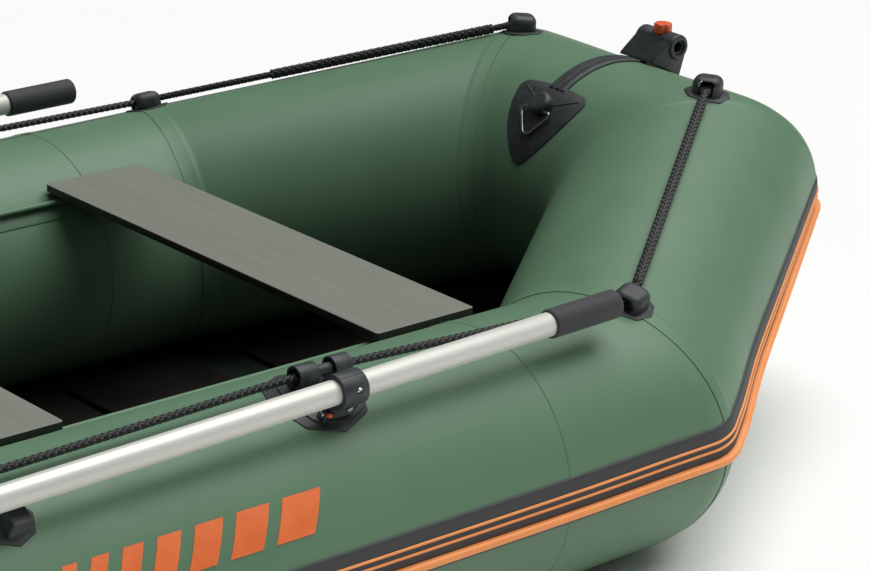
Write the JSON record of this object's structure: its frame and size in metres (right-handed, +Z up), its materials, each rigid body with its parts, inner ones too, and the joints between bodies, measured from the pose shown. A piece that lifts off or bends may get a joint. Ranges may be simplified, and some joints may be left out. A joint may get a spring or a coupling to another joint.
{
  "type": "inflatable rowing boat",
  "caption": "Inflatable rowing boat: six-sided ring of air tubes with raised bow, slatted floor, sliding benches, stowed oars in swivelling oarlocks, life lines and an anchor roller.",
  "frame": {"origin": "on the ground under the middle of the boat", "axes": "+X to the bow, +Y to port, +Z up"},
  "size_m": [2.7892, 1.3928, 0.5395],
  "materials": {
    "hull_fabric": "satin coated fabric, green",
    "bottom_fabric": "satin coated fabric, dark green",
    "floor_plywood": "film-faced plywood, dark brown",
    "bench_plywood": "painted plywood, grey",
    "black_nylon": "moulded nylon, dark grey",
    "dark_rubber": "matt, dark grey",
    "orange_pvc": "satin orange",
    "orange_plastic": "orange",
    "rope": "braided polyester, black",
    "steel": "stainless",
    "shaft_aluminium": "satin anodised",
    "grip_rubber": "foam rubber, black"
  },
  "bodies": {
    "hull": {"bottom_skin": "bottom_fabric", "bow_quarter_port": "hull_fabric", "bow_quarter_starboard": "hull_fabric", "bow_strap": "dark_rubber", "bulkheads": "hull_fabric", "floor_boards": "floor_plywood", "guide_bridges": "black_nylon", "guide_patches": "dark_rubber", "lifeline_port": "rope", "lifeline_starboard": "rope", "oar_rests": "black_nylon", "oarlock_base_port": "black_nylon", "oarlock_base_starboard": "black_nylon", "oarlock_patches": "dark_rubber", "roller_housing": "black_nylon", "rope_splices": "rope", "seat_rail_port": "hull_fabric", "seat_rail_starboard": "hull_fabric", "stern_quarter_port": "hull_fabric", "stern_quarter_starboard": "hull_fabric", "strake_band": "dark_rubber", "strake_ribs": "orange_pvc", "tilt_pins": "steel", "towing_boss": "black_nylon", "towing_patch": "dark_rubber", "tube_bow": "hull_fabric", "tube_port": "hull_fabric", "tube_starboard": "hull_fabric", "tube_stern": "hull_fabric", "valve_bodies": "black_nylon"},
    "bench_front_seat": {"bench_front": "bench_plywood", "bench_slides_front": "black_nylon"},
    "bench_rear_seat": {"bench_rear": "bench_plywood", "bench_slides_rear": "black_nylon"},
    "tow_ring": {"towing_ring": "steel"},
    "line_roller": {"roller": "black_nylon"},
    "roller_lock": {"roller_knob": "orange_plastic"},
    "rocker_starboard": {"oarlock_rocker_starboard": "black_nylon"},
    "oar_starboard": {"clamp_inner_starboard": "black_nylon", "clamp_cover_starboard": "black_nylon", "clamp_screws_starboard": "steel", "shaft_inboard_starboard": "shaft_aluminium", "shaft_outboard_starboard": "shaft_aluminium", "grip_starboard": "grip_rubber", "blade_starboard": "black_nylon"},
    "release_starboard": {"lock_button_starboard": "orange_plastic"},
    "snap_starboard": {"shaft_button_starboard": "black_nylon"},
    "cap_starboard": {"valve_cap_starboard": "black_nylon"},
    "rocker_port": {"oarlock_rocker_port": "black_nylon"},
    "oar_port": {"clamp_inner_port": "black_nylon", "clamp_cover_port": "black_nylon", "clamp_screws_port": "steel", "shaft_inboard_port": "shaft_aluminium", "shaft_outboard_port": "shaft_aluminium", "grip_port": "grip_rubber", "blade_port": "black_nylon"},
    "release_port": {"lock_button_port": "orange_plastic"},
    "snap_port": {"shaft_button_port": "black_nylon"},
    "cap_port": {"valve_cap_port": "black_nylon"}
  },
  "joints": [
    {"name": "bench_front_slide", "type": "slide", "parent": "hull", "child": "bench_front_seat", "axis": [1, 0, 0], "range_m": [-0.2, 0.05]},
    {"name": "bench_rear_slide", "type": "slide", "parent": "hull", "child": "bench_rear_seat", "axis": [1, 0, 0], "range_m": [-0.3, 0.15]},
    {"name": "tow_ring_swing", "type": "hinge", "parent": "hull", "child": "tow_ring", "pos_m": [1.05648, 0, 0.44315], "axis": [0, 1, 0], "range_deg": [0, 110]},
    {"name": "roller_spin", "type": "hinge", "parent": "hull", "child": "line_roller", "pos_m": [1.30805, 0, 0.50854], "axis": [0, 1, 0], "continuous": true},
    {"name": "roller_lock_turn", "type": "hinge", "parent": "hull", "child": "roller_lock", "pos_m": [1.30805, -0.008, 0.50854], "axis": [0, 0, 1], "range_deg": [0, 90]},
    {"name": "oar_tilt_starboard", "type": "hinge", "parent": "hull", "child": "rocker_starboard", "pos_m": [0.19, -0.58902, 0.36354], "axis": [1, 0, 0], "range_deg": [-4, 15]},
    {"name": "oar_swing_starboard", "type": "hinge", "parent": "rocker_starboard", "child": "oar_starboard", "pos_m": [0.19, -0.60486, 0.39531], "axis": [0, -0.4462, 0.8949], "range_deg": [0, 110]},
    {"name": "lock_press_starboard", "type": "slide", "parent": "rocker_starboard", "child": "release_starboard", "axis": [1, 0, 0], "range_m": [0, 0.003], "stiffness_N_per_m": 300},
    {"name": "snap_press_starboard", "type": "slide", "parent": "oar_starboard", "child": "snap_starboard", "axis": [0, 0.4462, -0.8949], "range_m": [0, 0.003], "stiffness_N_per_m": 300},
    {"name": "cap_turn_starboard", "type": "hinge", "parent": "hull", "child": "cap_starboard", "pos_m": [-0.76, -0.32782, 0.27655], "axis": [0, 0.8829, 0.4695], "range_deg": [0, 90]},
    {"name": "oar_tilt_port", "type": "hinge", "parent": "hull", "child": "rocker_port", "pos_m": [0.19, 0.58902, 0.36354], "axis": [-1, 0, 0], "range_deg": [-4, 15]},
    {"name": "oar_swing_port", "type": "hinge", "parent": "rocker_port", "child": "oar_port", "pos_m": [0.19, 0.60486, 0.39531], "axis": [0, -0.4462, -0.8949], "range_deg": [0, 110]},
    {"name": "lock_press_port", "type": "slide", "parent": "rocker_port", "child": "release_port", "axis": [1, 0, 0], "range_m": [0, 0.003], "stiffness_N_per_m": 300},
    {"name": "snap_press_port", "type": "slide", "parent": "oar_port", "child": "snap_port", "axis": [0, -0.4462, -0.8949], "range_m": [0, 0.003], "stiffness_N_per_m": 300},
    {"name": "cap_turn_port", "type": "hinge", "parent": "hull", "child": "cap_port", "pos_m": [-0.76, 0.32782, 0.27655], "axis": [0, -0.8829, 0.4695], "range_deg": [0, 90]}
  ]
}
